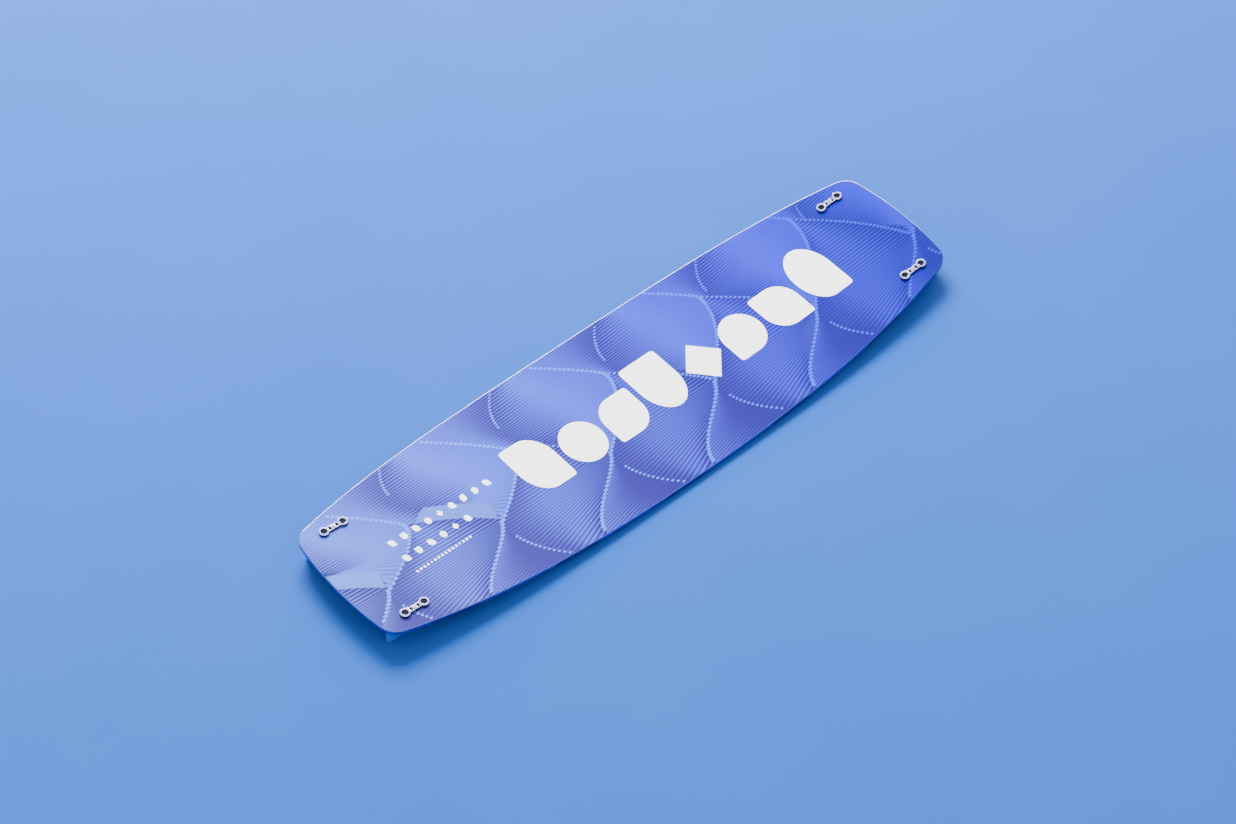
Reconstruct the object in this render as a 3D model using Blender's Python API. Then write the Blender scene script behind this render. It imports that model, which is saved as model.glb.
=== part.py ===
# Twin-tip kiteboard, deck up, standing on its four fins.
# The board lies along X. Its toe edge is at -Y and its heel edge at +Y.
# The origin is on the floor under the middle of the board, and all sizes are in metres.

import math

import bmesh
import bpy
import numpy as np
from mathutils import Matrix

# Fits
GAP = 0.0003  # between two pieces that meet

# Plan shape
BOARD_LENGTH = 1.380
BOARD_WIDTH = 0.4075
TIP_WIDTH = 0.271  # between the two side curves, carried on to the end of the board
SIDE_FULLNESS = 0.52  # 1 draws the sides in as a parabola, 0 as a fourth power
TIP_BOW = 0.0127  # how far the middle of a tip stands out past its corners
CORNER_RADIUS = 0.040
EDGE_ROUND = 0.0009  # how far the two outer sheets stay inside the rails

# Side view
ROCKER_RISE = 0.0405  # height of the tips above the middle
MIDDLE_FLAT = 0.080
FACET_LENGTH = 0.068  # longest straight stretch between the middle and the fins

# Layers, from the floor up
BASE_SHEET = 0.0008
LAMINATE = 0.0008
CORE = 0.0046
TOP_SHEET = 0.0008
RAIL_WIDTH = 0.012

# Fins
FIN_LENGTH = 0.126
FIN_DEPTH = 0.034  # under the hull, half way between the fin's two screws
FIN_THICKNESS = 0.0095
FIN_TOE = 0.0015  # chamfer round the fin's free edge
FIN_TIP_SETBACK = 0.019  # from the end of the board to the fin
FIN_EDGE_SETBACK = 0.0396  # from the side of the board to the fin's middle plane
FIN_LEADING_SWEEP = 0.046  # how far the inner edge of the fin leans over

# Fin screws and the inserts that they turn into
SCREW_TIP_SETBACK = 0.0614  # from the end of the board to the outer screw
SCREW_SPACING = 0.0419
SCREW_RADIUS = 0.0025
SCREW_REACH = 0.0105  # how deep a screw goes into its fin
HEAD_RADIUS = 0.00425
HEAD_HEIGHT = 0.0022
SOCKET_RADIUS = 0.0022
SOCKET_DEPTH = 0.0014
FIN_INSERT_WALL = 0.0008
FIN_INSERT_LENGTH = 0.012

# Double washers on the deck
CUP_RADIUS = 0.0097
CUP_HEIGHT = 0.0056
CUP_RECESS_RADIUS = 0.0060
CUP_FLOOR = 0.0018
BRIDGE_WIDTH = 0.0112
BRIDGE_HEIGHT = 0.0046
WINDOW_LENGTH = 0.0032
WINDOW_WIDTH = 0.0066
WINDOW_SPACING = 0.0152

# Hard blocks that the fin screws pass through
BLOCK_WIDTH = 0.026
BLOCK_OVERHANG = 0.011  # past the outer screw centres

# Threaded inserts for bindings and for a handle, closed in under the top sheet
STANCE = 0.550
INSERT_ROW_SPACING = 0.160
INSERT_PITCH = 0.025
INSERTS_PER_ROW = 3
HANDLE_SPACING = 0.200
INSERT_RADIUS = 0.0060
INSERT_BORE = 0.0025

# Smoothness of the curves, in straight steps
CORNER_STEPS = 5
TIP_STEPS = 3
CUP_SIDES = 18
SMALL_SIDES = 10
SOCKET_SIDES = 6
BLOCK_END_STEPS = 6
SWEEP_STEPS = 3
ARC_ROUNDS = 60  # repeats that settle where a corner's arc meets the side and the tip

ENDS = {"left": -1, "right": 1}
EDGES = {"toe": -1, "heel": 1}
SMOOTH_ANGLE = math.radians(35)


def clear_scene():
    for obj in list(bpy.data.objects):
        bpy.data.objects.remove(obj)


def make_material(name, color, roughness, metallic=0.0):
    material = bpy.data.materials.new(name)
    material.use_nodes = True
    shader = material.node_tree.nodes["Principled BSDF"]
    shader.inputs["Base Color"].default_value = (*color, 1.0)
    shader.inputs["Roughness"].default_value = roughness
    shader.inputs["Metallic"].default_value = metallic
    return material


# Plan shape: two side curves, two tip curves and four round corners


def side_half_width(x):
    """Distance of the side from the middle line at x."""
    share = abs(2 * x / BOARD_LENGTH)
    drawn_in = SIDE_FULLNESS * share**2 + (1 - SIDE_FULLNESS) * share**4
    return BOARD_WIDTH / 2 - (BOARD_WIDTH - TIP_WIDTH) / 2 * drawn_in


def side_normal(x):
    share = 2 * x / BOARD_LENGTH
    slope = 2 * SIDE_FULLNESS * share + 4 * (1 - SIDE_FULLNESS) * share**3
    slope *= -(BOARD_WIDTH - TIP_WIDTH) / BOARD_LENGTH
    return np.array([-slope, 1.0]) / math.hypot(slope, 1.0)


def tip_reach(y):
    """Distance of the tip's end from the middle of the board at y."""
    return BOARD_LENGTH / 2 - TIP_BOW * (2 * y / TIP_WIDTH) ** 2


def tip_normal(y):
    slope = -8 * TIP_BOW * y / TIP_WIDTH**2
    return np.array([1.0, -slope]) / math.hypot(1.0, slope)


def corner_ends():
    """Where the corner's arc leaves the side, as x, and meets the tip, as y."""
    x = BOARD_LENGTH / 2 - CORNER_RADIUS
    y = TIP_WIDTH / 2 - CORNER_RADIUS
    for _ in range(ARC_ROUNDS):
        centre_y = side_half_width(x) - CORNER_RADIUS * side_normal(x)[1]
        y = centre_y + CORNER_RADIUS * tip_normal(y)[1]
        centre_x = tip_reach(y) - CORNER_RADIUS * tip_normal(y)[0]
        x = centre_x + CORNER_RADIUS * side_normal(x)[0]
    return x, y


def quarter_outline():
    """Rows of x, y and outward normal, from the middle of a side to the middle of a tip."""
    corner_x, corner_y = corner_ends()
    rows = []
    for x in (0.0, *[bend for bend in stations() if bend < corner_x], corner_x):
        rows.append((x, side_half_width(x), *side_normal(x)))
    start = math.atan2(*side_normal(corner_x)[::-1])
    end = math.atan2(*tip_normal(corner_y)[::-1])
    normal = side_normal(corner_x)
    centre = np.array([corner_x, side_half_width(corner_x)]) - CORNER_RADIUS * normal
    for angle in np.linspace(start, end, CORNER_STEPS + 1)[1:]:
        normal = np.array([math.cos(angle), math.sin(angle)])
        rows.append((*(centre + CORNER_RADIUS * normal), *normal))
    for y in np.linspace(corner_y, 0, TIP_STEPS + 1)[1:]:
        rows.append((tip_reach(y), y, *tip_normal(y)))
    return np.array(rows)


def outline():
    """The whole edge of the board, clockwise from the middle of the heel side."""
    quarter = quarter_outline()
    back = quarter[::-1]
    parts = [
        quarter[:-1],
        back[:-1] * (1, -1, 1, -1),
        quarter[:-1] * (-1, -1, -1, -1),
        back[:-1] * (-1, 1, -1, 1),
    ]
    return np.concatenate(parts)


def inset(rows, distance):
    return rows[:, :2] - distance * rows[:, 2:]


# Side view: straight facets between stations, so that each stretch of deck is flat


def fin_middle():
    """Distance from the middle of the board to the point between a fin's screws."""
    return BOARD_LENGTH / 2 - SCREW_TIP_SETBACK - SCREW_SPACING / 2


def stations():
    """Distances from the middle of the board at which the deck bends."""
    half_seat = SCREW_SPACING / 2 + CUP_RADIUS + 2 * GAP
    inner = fin_middle() - half_seat
    outer = fin_middle() + half_seat
    count = math.ceil((inner - MIDDLE_FLAT / 2) / FACET_LENGTH)
    run = np.linspace(MIDDLE_FLAT / 2, inner, count + 1)
    return np.array([*run, outer, BOARD_LENGTH / 2 + EDGE_ROUND])


def rocker(x):
    """Height of the board's underside at x above its middle."""
    bends = stations()
    heights = ROCKER_RISE * (2 * bends / BOARD_LENGTH) ** 2
    return np.interp(abs(x), bends, heights - heights[0])


def hull_height():
    """Height of the underside above the floor in the middle: the fins carry it, or it lies on the floor."""
    return max(0.0, FIN_DEPTH - rocker(fin_middle()))


def layer_levels():
    """Lowest and highest level of each layer above the underside."""
    thicknesses = {
        "base_sheet": BASE_SHEET,
        "bottom_laminate": LAMINATE,
        "wood_core": CORE,
        "top_laminate": LAMINATE,
        "top_sheet": TOP_SHEET,
    }
    levels = {}
    low = 0.0
    for name, thickness in thicknesses.items():
        levels[name] = (low, low + thickness)
        low += thickness + GAP
    return levels


def facet_slope(x):
    """Slope of the facet that holds x."""
    reach = MIDDLE_FLAT / 100
    return (rocker(x + reach) - rocker(x - reach)) / (2 * reach)


def hull_point(x, y, level):
    return (x, y, hull_height() + rocker(x) + level)


def seat_frame(x, y, level):
    """A frame on the facet that holds x: its X runs along the board and its Z stands on the deck."""
    tilt = Matrix.Rotation(-math.atan(facet_slope(x)), 4, "Y")
    return Matrix.Translation(hull_point(x, y, level)) @ tilt


# Making meshes


def add_object(name, bm, material=None):
    bmesh.ops.recalc_face_normals(bm, faces=bm.faces)
    mesh = bpy.data.meshes.new(name)
    bm.to_mesh(mesh)
    bm.free()
    mesh.shade_smooth()
    mesh.set_sharp_from_angle(angle=SMOOTH_ANGLE)
    obj = bpy.data.objects.new(name, mesh)
    bpy.context.scene.collection.objects.link(obj)
    if material:
        mesh.materials.append(material)
    return obj


def add_cutter(name, bm):
    cutter = add_object(name, bm)
    cutter.hide_render = True
    cutter.display_type = "WIRE"
    return cutter


def add_boolean(obj, other, operation="DIFFERENCE"):
    modifier = obj.modifiers.new(other.name, "BOOLEAN")
    modifier.operation = operation
    modifier.solver = "EXACT"
    modifier.object = other


def copy_finished(name, obj, frame):
    """A copy of the object with its modifiers worked in, placed by a frame."""
    graph = bpy.context.evaluated_depsgraph_get()
    mesh = bpy.data.meshes.get(obj.name + "_finished")
    if mesh is None:
        mesh = bpy.data.meshes.new_from_object(obj.evaluated_get(graph))
        mesh.name = obj.name + "_finished"
    made = bpy.data.objects.new(name, mesh)
    bpy.context.scene.collection.objects.link(made)
    made.matrix_world = frame
    return made


def bend_to_hull(bm):
    """Cuts flat faces at the stations and lifts every point by the rocker."""
    for station in stations():
        for x in (-station, station):
            geometry = list(bm.verts) + list(bm.edges) + list(bm.faces)
            bmesh.ops.bisect_plane(bm, geom=geometry, plane_co=(x, 0, 0), plane_no=(1, 0, 0), dist=1e-6)
    for vert in bm.verts:
        vert.co = hull_point(*vert.co)


def add_layer(name, polygons, levels, material):
    """A plate over plan polygons, from one level to another, bent to the hull."""
    bm = bmesh.new()
    for polygon in polygons:
        bm.faces.new([bm.verts.new((*point, levels[0])) for point in polygon])
    bmesh.ops.remove_doubles(bm, verts=bm.verts, dist=1e-6)
    extruded = bmesh.ops.extrude_face_region(bm, geom=list(bm.faces))
    for item in extruded["geom"]:
        if isinstance(item, bmesh.types.BMVert):
            item.co.z = levels[1]
    bend_to_hull(bm)
    return add_object(name, bm, material)


def add_cylinder(bm, frame, radius, low, high, sides):
    """A cylinder round the frame's Z, between two heights on it."""
    middle = frame @ Matrix.Translation((0, 0, (low + high) / 2))
    bmesh.ops.create_cone(
        bm, cap_ends=True, segments=sides, radius1=radius, radius2=radius, depth=high - low, matrix=middle
    )


def add_box(bm, frame, size, centre):
    scale = Matrix.Diagonal((*size, 1))
    bmesh.ops.create_cube(bm, size=1, matrix=frame @ Matrix.Translation(centre) @ scale)


def add_turned(name, rings, material, closed):
    """A turned piece through rings of radius and height, with a cap at each end or closed as a tube.

    Its corners start on the Y axis, as a cylinder's do, so that it lies corner to corner in its hole.
    """
    bm = bmesh.new()
    angles = np.linspace(0, 2 * math.pi, SMALL_SIDES, endpoint=False)
    loops = []
    for radius, height in rings:
        loops.append([bm.verts.new((radius * math.sin(a), radius * math.cos(a), height)) for a in angles])
    pairs = list(zip(loops, loops[1:]))
    if closed:
        pairs.append((loops[-1], loops[0]))
    for lower, upper in pairs:
        for i in range(SMALL_SIDES):
            bm.faces.new((lower[i - 1], lower[i], upper[i], upper[i - 1]))
    if not closed:
        bm.faces.new(loops[0])
        bm.faces.new(loops[-1])
    return add_object(name, bm, material)


# Places of the hardware


def fin_line(x):
    """Distance from the middle line to a fin's middle plane."""
    return side_half_width(x) - FIN_EDGE_SETBACK


def fin_places():
    """End and edge names of each fin, with the signs of its x and y."""
    for end, x_sign in ENDS.items():
        for edge, y_sign in EDGES.items():
            yield f"{end}_{edge}", x_sign, y_sign


def washer_frame(x_sign, y_sign):
    top = layer_levels()["top_sheet"][1]
    x = fin_middle()
    return seat_frame(x_sign * x, y_sign * fin_line(x), top)


def screw_frames(x_sign, y_sign):
    """The frame of each screw of a fin, standing on the deck."""
    for name, side in (("inner", -1), ("outer", 1)):
        shift = Matrix.Translation((side * x_sign * SCREW_SPACING / 2, 0, 0))
        yield name, washer_frame(x_sign, y_sign) @ shift


def insert_places():
    """Names and plan positions of the binding and handle inserts."""
    for end, x_sign in ENDS.items():
        for edge, y_sign in EDGES.items():
            for i in range(INSERTS_PER_ROW):
                shift = (i - (INSERTS_PER_ROW - 1) / 2) * INSERT_PITCH
                x = x_sign * STANCE / 2 + shift
                yield f"binding_insert_{end}_{edge}_{i + 1}", x, y_sign * INSERT_ROW_SPACING / 2
    for edge, y_sign in EDGES.items():
        yield f"handle_insert_{edge}", 0.0, y_sign * HANDLE_SPACING / 2


# Cutters


def board_thickness():
    return layer_levels()["top_sheet"][1]


def cut_screw_holes():
    bm = bmesh.new()
    for _, x_sign, y_sign in fin_places():
        for _, frame in screw_frames(x_sign, y_sign):
            depth = 2 * board_thickness()
            add_cylinder(bm, frame, SCREW_RADIUS + GAP, -depth, depth, SMALL_SIDES)
    return add_cutter("cutter_screw_holes", bm)


def block_outline(x_sign, y_sign, margin):
    """A plan outline round a fin's two screws, with round ends."""
    centre = np.array([x_sign * fin_middle(), y_sign * fin_line(fin_middle())])
    end_radius = BLOCK_WIDTH / 2 + margin
    reach = SCREW_SPACING / 2 + BLOCK_OVERHANG - BLOCK_WIDTH / 2
    points = []
    for side in (1, -1):
        for angle in np.linspace(-math.pi / 2, math.pi / 2, BLOCK_END_STEPS + 1):
            x = side * (reach + end_radius * math.cos(angle))
            points.append(centre + (x, side * end_radius * math.sin(angle)))
    return points


def cut_core_pockets():
    low, high = layer_levels()["wood_core"]
    bm = bmesh.new()
    for _, x_sign, y_sign in fin_places():
        polygon = block_outline(x_sign, y_sign, GAP)
        face = bm.faces.new([bm.verts.new((*point, -board_thickness())) for point in polygon])
        extruded = bmesh.ops.extrude_face_region(bm, geom=[face])
        for item in extruded["geom"]:
            if isinstance(item, bmesh.types.BMVert):
                item.co.z = BOARD_WIDTH
    for _, x, y in insert_places():
        frame = seat_frame(x, y, low)
        add_cylinder(bm, frame, INSERT_RADIUS + GAP, low - high, 2 * (high - low), SMALL_SIDES)
    return add_cutter("cutter_core_pockets", bm)


# Pieces


def make_layers(materials, screw_holes, core_pockets):
    edge = outline()
    insets = {
        "base_sheet": EDGE_ROUND,
        "bottom_laminate": 0.0,
        "wood_core": RAIL_WIDTH + GAP,
        "top_laminate": 0.0,
        "top_sheet": EDGE_ROUND,
    }
    for name, levels in layer_levels().items():
        layer = add_layer(name, [inset(edge, insets[name])], levels, materials[name])
        add_boolean(layer, core_pockets if name == "wood_core" else screw_holes)


def make_rails(materials):
    """Two side rails between the corners and two tip rails that take in the corners."""
    edge = outline()
    levels = layer_levels()["wood_core"]
    count = len(edge)
    quarter = count // 4
    corner = CORNER_STEPS + TIP_STEPS
    runs = {
        "side_rail_heel": (-quarter + corner, quarter - corner),
        "tip_rail_right": (quarter - corner, quarter + corner),
        "side_rail_toe": (quarter + corner, 3 * quarter - corner),
        "tip_rail_left": (3 * quarter - corner, 3 * quarter + corner),
    }
    for name, (first, last) in runs.items():
        rows = edge[np.arange(first, last + 1) % count].copy()
        if name.startswith("tip"):
            # The tip rail stops short of the side rails by the gap, along the edge.
            rows[0, :2] += GAP * np.array([rows[0, 3], -rows[0, 2]])
            rows[-1, :2] -= GAP * np.array([rows[-1, 3], -rows[-1, 2]])
        outer = inset(rows, 0.0)
        inner = inset(rows, RAIL_WIDTH)
        quads = [(outer[i], outer[i + 1], inner[i + 1], inner[i]) for i in range(len(rows) - 1)]
        add_layer(name, quads, levels, materials["rail"])


def make_fin(name, x_sign, y_sign, material):
    """A plate whose top follows the hull and whose bottom stands on the floor."""
    outer = BOARD_LENGTH / 2 - FIN_TIP_SETBACK
    inner = outer - FIN_LENGTH
    bottom = hull_height() + rocker(fin_middle()) - FIN_DEPTH
    bends = [x for x in stations() if inner < x < outer]
    top = [(x, hull_point(x, 0, -GAP)[2]) for x in (inner, *bends, outer)]
    sweep = []
    for share in np.linspace(0, 1, SWEEP_STEPS + 1):
        # The inner edge leans over and runs out flat into the bottom.
        x = inner + FIN_LEADING_SWEEP * share
        sweep.append((x, top[0][1] + (bottom - top[0][1]) * math.sin(share * math.pi / 2)))
    side = top + [(outer, bottom)] + sweep[:0:-1]
    half = FIN_THICKNESS / 2
    y = y_sign * fin_line(fin_middle())
    bm = bmesh.new()
    face = bm.faces.new([bm.verts.new((x_sign * u, y - half, z)) for u, z in side])
    extruded = bmesh.ops.extrude_face_region(bm, geom=[face])
    for item in extruded["geom"]:
        if isinstance(item, bmesh.types.BMVert):
            item.co.y = y + half
    free = []
    for edge in bm.edges:
        ends = [vert.co for vert in edge.verts]
        along_y = abs(ends[0].y - ends[1].y) > half
        under_hull = min(hull_point(end.x, 0, -2 * GAP)[2] - end.z for end in ends) < 0
        if not along_y and not under_hull:
            free.append(edge)
    bmesh.ops.bevel(bm, geom=free, offset=FIN_TOE, segments=1, affect="EDGES")
    fin = add_object(name, bm, material)
    holes = bmesh.new()
    deep = board_thickness() + FIN_INSERT_LENGTH + 3 * GAP
    radius = SCREW_RADIUS + 2 * GAP + FIN_INSERT_WALL
    for _, frame in screw_frames(x_sign, y_sign):
        add_cylinder(holes, frame, radius, -deep, 0, SMALL_SIDES)
    add_boolean(fin, add_cutter("cutter_" + name, holes))


def make_washer_pattern(material):
    """A cup at each screw, joined by a bridge with two windows, seated on the XY plane."""
    frame = Matrix.Identity(4)
    half = SCREW_SPACING / 2
    bm = bmesh.new()
    add_box(bm, frame, (SCREW_SPACING, BRIDGE_WIDTH, BRIDGE_HEIGHT), (0, 0, GAP + BRIDGE_HEIGHT / 2))
    washer = add_object("washer_pattern", bm, material)
    cups = bmesh.new()
    holes = bmesh.new()
    for side in (-1, 1):
        seat = Matrix.Translation((side * half, 0, 0))
        add_cylinder(cups, seat, CUP_RADIUS, GAP, CUP_HEIGHT, CUP_SIDES)
        add_cylinder(holes, seat, CUP_RECESS_RADIUS, CUP_FLOOR, 2 * CUP_HEIGHT, CUP_SIDES)
        window = (side * WINDOW_SPACING / 2, 0, 0)
        add_box(holes, frame, (WINDOW_LENGTH, WINDOW_WIDTH, 4 * CUP_HEIGHT), window)
    bores = bmesh.new()
    for side in (-1, 1):
        seat = Matrix.Translation((side * half, 0, 0))
        add_cylinder(bores, seat, SCREW_RADIUS + GAP, -CUP_HEIGHT, CUP_HEIGHT, SMALL_SIDES)
    cutters = [
        (add_cutter("cutter_cups", cups), "UNION"),
        (add_cutter("cutter_recesses", holes), "DIFFERENCE"),
        (add_cutter("cutter_bores", bores), "DIFFERENCE"),
    ]
    for cutter, operation in cutters:
        add_boolean(washer, cutter, operation)
    washer.hide_render = True
    return washer


def make_screw_pattern(material):
    """A socket-head screw, its head over the cup's floor and its shank below the deck."""
    seat = CUP_FLOOR + GAP
    top = seat + HEAD_HEIGHT
    low = -board_thickness() - SCREW_REACH
    rings = [
        (SCREW_RADIUS - GAP, low),
        (SCREW_RADIUS, low + GAP),
        (SCREW_RADIUS, seat),
        (HEAD_RADIUS, seat),
        (HEAD_RADIUS, top - GAP),
        (HEAD_RADIUS - GAP, top),
    ]
    screw = add_turned("screw_pattern", rings, material, closed=False)
    socket = bmesh.new()
    add_cylinder(socket, Matrix.Identity(4), SOCKET_RADIUS, top - SOCKET_DEPTH, 2 * top, SOCKET_SIDES)
    add_boolean(screw, add_cutter("cutter_socket", socket))
    screw.hide_render = True
    return screw


def make_tube_pattern(name, bore, radius, low, high, material):
    rings = [(bore, low), (radius, low), (radius, high), (bore, high)]
    tube = add_turned(name, rings, material, closed=True)
    tube.hide_render = True
    return tube


def make_fin_sets(materials, screw_holes):
    washer = make_washer_pattern(materials["washer"])
    screw = make_screw_pattern(materials["screw"])
    insert_top = -board_thickness() - 2 * GAP
    bore = SCREW_RADIUS + GAP
    fin_insert = make_tube_pattern(
        "fin_insert_pattern",
        bore,
        bore + FIN_INSERT_WALL,
        insert_top - FIN_INSERT_LENGTH,
        insert_top,
        materials["brass"],
    )
    bpy.context.view_layer.update()
    for place, x_sign, y_sign in fin_places():
        make_fin("fin_" + place, x_sign, y_sign, materials["fin"])
        copy_finished("fin_washer_" + place, washer, washer_frame(x_sign, y_sign))
        outline_points = block_outline(x_sign, y_sign, 0.0)
        levels = layer_levels()["wood_core"]
        block = add_layer("fin_block_" + place, [outline_points], levels, materials["block"])
        add_boolean(block, screw_holes)
        for side, frame in screw_frames(x_sign, y_sign):
            copy_finished(f"fin_screw_{place}_{side}", screw, frame)
            copy_finished(f"fin_insert_{place}_{side}", fin_insert, frame)


def make_deck_inserts(material):
    low, high = layer_levels()["wood_core"]
    pattern = make_tube_pattern("deck_insert_pattern", INSERT_BORE, INSERT_RADIUS, GAP, high - low - GAP, material)
    bpy.context.view_layer.update()
    for name, x, y in insert_places():
        copy_finished(name, pattern, seat_frame(x, y, low))


def main():
    clear_scene()
    materials = {
        "top_sheet": make_material("printed_deck", (0.13, 0.19, 0.72), 0.28),
        "top_laminate": make_material("top_glass", (0.42, 0.50, 0.62), 0.35),
        "wood_core": make_material("paulownia", (0.70, 0.56, 0.36), 0.60),
        "bottom_laminate": make_material("bottom_glass", (0.42, 0.50, 0.62), 0.35),
        "base_sheet": make_material("printed_base", (0.10, 0.15, 0.62), 0.30),
        "rail": make_material("abs_rail", (0.01, 0.01, 0.28), 0.35),
        "fin": make_material("clear_blue_fin", (0.03, 0.13, 0.45), 0.18),
        "washer": make_material("anodised_washer", (0.72, 0.72, 0.86), 0.32, 0.9),
        "screw": make_material("steel_screw", (0.60, 0.60, 0.68), 0.30, 1.0),
        "brass": make_material("brass_insert", (0.72, 0.55, 0.24), 0.35, 1.0),
        "block": make_material("hard_block", (0.16, 0.17, 0.20), 0.55),
    }
    screw_holes = cut_screw_holes()
    core_pockets = cut_core_pockets()
    make_layers(materials, screw_holes, core_pockets)
    make_rails(materials)
    make_fin_sets(materials, screw_holes)
    make_deck_inserts(materials["brass"])


main()
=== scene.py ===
import math

import bmesh
import bpy
import numpy as np
from mathutils import Matrix, Vector


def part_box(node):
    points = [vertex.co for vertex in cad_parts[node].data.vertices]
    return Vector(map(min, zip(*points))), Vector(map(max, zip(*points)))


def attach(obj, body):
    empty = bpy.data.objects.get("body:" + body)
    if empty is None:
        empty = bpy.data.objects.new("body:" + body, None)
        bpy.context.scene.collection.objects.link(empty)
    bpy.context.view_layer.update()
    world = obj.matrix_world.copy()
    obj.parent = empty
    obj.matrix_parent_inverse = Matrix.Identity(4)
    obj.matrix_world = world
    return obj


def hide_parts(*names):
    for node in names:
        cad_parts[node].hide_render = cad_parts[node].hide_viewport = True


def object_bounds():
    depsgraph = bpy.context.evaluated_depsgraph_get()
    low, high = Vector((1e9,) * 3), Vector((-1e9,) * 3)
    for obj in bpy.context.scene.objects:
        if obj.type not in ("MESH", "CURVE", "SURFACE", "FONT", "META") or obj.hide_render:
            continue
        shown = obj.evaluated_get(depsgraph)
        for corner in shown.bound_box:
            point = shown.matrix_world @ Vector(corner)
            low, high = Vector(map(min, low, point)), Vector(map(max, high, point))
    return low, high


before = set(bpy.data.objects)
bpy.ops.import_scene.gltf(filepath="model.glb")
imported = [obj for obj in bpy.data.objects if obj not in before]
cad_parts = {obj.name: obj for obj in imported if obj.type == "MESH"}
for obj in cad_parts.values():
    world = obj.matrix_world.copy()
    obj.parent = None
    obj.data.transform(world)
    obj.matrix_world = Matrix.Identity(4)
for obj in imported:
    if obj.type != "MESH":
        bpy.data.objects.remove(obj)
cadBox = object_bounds()
print("frame:", len(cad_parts), "nodes")

# The board's own measures, in metres. X runs along the board, +Y is the heel side, +Z is up.
board = {
    "length": cadBox[1][0] - cadBox[0][0],
    "width": cadBox[1][1] - cadBox[0][1],
    "tipWidth": 0.271,
    "sideFullness": 0.52,
    "tipBow": 0.0127,
    "cornerRadius": 0.040,
    "rockerRise": 0.0405,
    "middleFlat": 0.080,
    "thickness": 0.0090,
    "sheet": 0.0008,
    "edgeRound": 0.0021,
    "edgeStep": 0.0002,  # the upright part of the edge between its round and the seam
    "seam": 0.00012,  # the hairline between a sheet and a rail
    "medial": 0.80,  # how far the middle line of the shells' grid runs, as a share of the board
    "sideSteps": 92,  # between points round a quarter of the edge
    "cornerSteps": 16,
    "tipSteps": 16,
    "flatMark": 0.01,  # the shells' mark where the flat begins
}
board["underside"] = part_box("top_sheet")[0].z + board["sheet"] - board["thickness"]
board["rimMark"] = math.pi / 2 * board["edgeRound"] + board["edgeStep"]  # the shells' mark at the rim


def halfWidth(x):
    # half the width less a mix of a parabola and a fourth power of the share of the length
    share = np.abs(2 * x / board["length"])
    drawn = board["sideFullness"] * share**2 + (1 - board["sideFullness"]) * share**4
    return board["width"] / 2 - (board["width"] - board["tipWidth"]) / 2 * drawn


def sideSlope(x):
    # the first derivative of halfWidth
    share = 2 * x / board["length"]
    rate = 2 * board["sideFullness"] * share + 4 * (1 - board["sideFullness"]) * share**3
    return -(board["width"] - board["tipWidth"]) / board["length"] * rate


def tipReach(y):
    # half the length less a parabola across the tip
    return board["length"] / 2 - board["tipBow"] * (2 * y / board["tipWidth"]) ** 2


def tipSlope(y):
    # the first derivative of tipReach
    return -8 * board["tipBow"] * y / board["tipWidth"] ** 2


def unitPair(a, b):
    size = np.hypot(a, b)
    return np.stack([a / size, b / size], axis=-1)


def cornerArc(rounds=60):
    # the arc that touches both the side and the tip: where it leaves each, and its centre
    radius = board["cornerRadius"]
    x, y = board["length"] / 2 - radius, board["tipWidth"] / 2 - radius
    for _ in range(rounds):
        sideNormal = unitPair(-sideSlope(x), 1.0)
        tipNormal = unitPair(1.0, -tipSlope(y))
        y = halfWidth(x) - radius * sideNormal[1] + radius * tipNormal[1]
        x = tipReach(y) - radius * tipNormal[0] + radius * sideNormal[0]
    centre = np.array([x, halfWidth(x)]) - radius * unitPair(-sideSlope(x), 1.0)
    return x, y, centre


cornerX, cornerY, cornerCentre = cornerArc()


def edgeRing():
    # the edge of the board as points and outward normals, from the middle of the heel side, clockwise
    share = np.linspace(0, 1, board["sideSteps"] + 1)
    xs = cornerX * (0.75 * share + 0.25 * np.sin(math.pi / 2 * share))  # closer towards the corner
    side = np.column_stack([xs, halfWidth(xs), unitPair(-sideSlope(xs), np.ones_like(xs))])
    sideNormal, tipNormal = unitPair(-sideSlope(cornerX), 1.0), unitPair(1.0, -tipSlope(cornerY))
    ends = math.atan2(*sideNormal[::-1]), math.atan2(*tipNormal[::-1])
    turn = np.linspace(*ends, board["cornerSteps"] + 1)
    normals = np.column_stack([np.cos(turn), np.sin(turn)])
    corner = np.column_stack([cornerCentre + board["cornerRadius"] * normals, normals])
    ys = np.linspace(cornerY, 0, board["tipSteps"] + 1)
    tip = np.column_stack([tipReach(ys), ys, unitPair(np.ones_like(ys), -tipSlope(ys))])
    quarter = np.concatenate([side, corner[1:], tip[1:]])
    parts = [(quarter, 1, 1), (quarter[::-1], 1, -1), (quarter, -1, -1), (quarter[::-1], -1, 1)]
    return np.concatenate([part[:-1] * (x, y, x, y) for part, x, y in parts])


def edgeDistance(x, y):
    # how far a point lies inside the edge: the nearer of side and tip, or the distance to a corner's arc
    ax, ay = np.abs(x), np.abs(y)
    side = (halfWidth(ax) - ay) / np.hypot(1, sideSlope(ax))
    tip = (tipReach(ay) - ax) / np.hypot(1, tipSlope(ay))
    away = np.stack([ax, ay], axis=-1) - cornerCentre
    angle = np.arctan2(away[..., 1], away[..., 0])
    low = math.atan2(-tipSlope(cornerY), 1.0)
    high = math.atan2(1.0, -sideSlope(cornerX))
    reach = np.hypot(away[..., 0], away[..., 1])
    inCorner = (angle > low) & (angle < high) & (reach > 1e-6)
    return np.where(inCorner, board["cornerRadius"] - reach, np.minimum(side, tip))


def hullHeight(x):
    # the underside's height: a parabola along the board, flat level with the CAD's middle facet
    bend = board["rockerRise"] * (2 * x / board["length"]) ** 2
    return board["underside"] + bend - board["rockerRise"] * (board["middleFlat"] / board["length"]) ** 2


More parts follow.
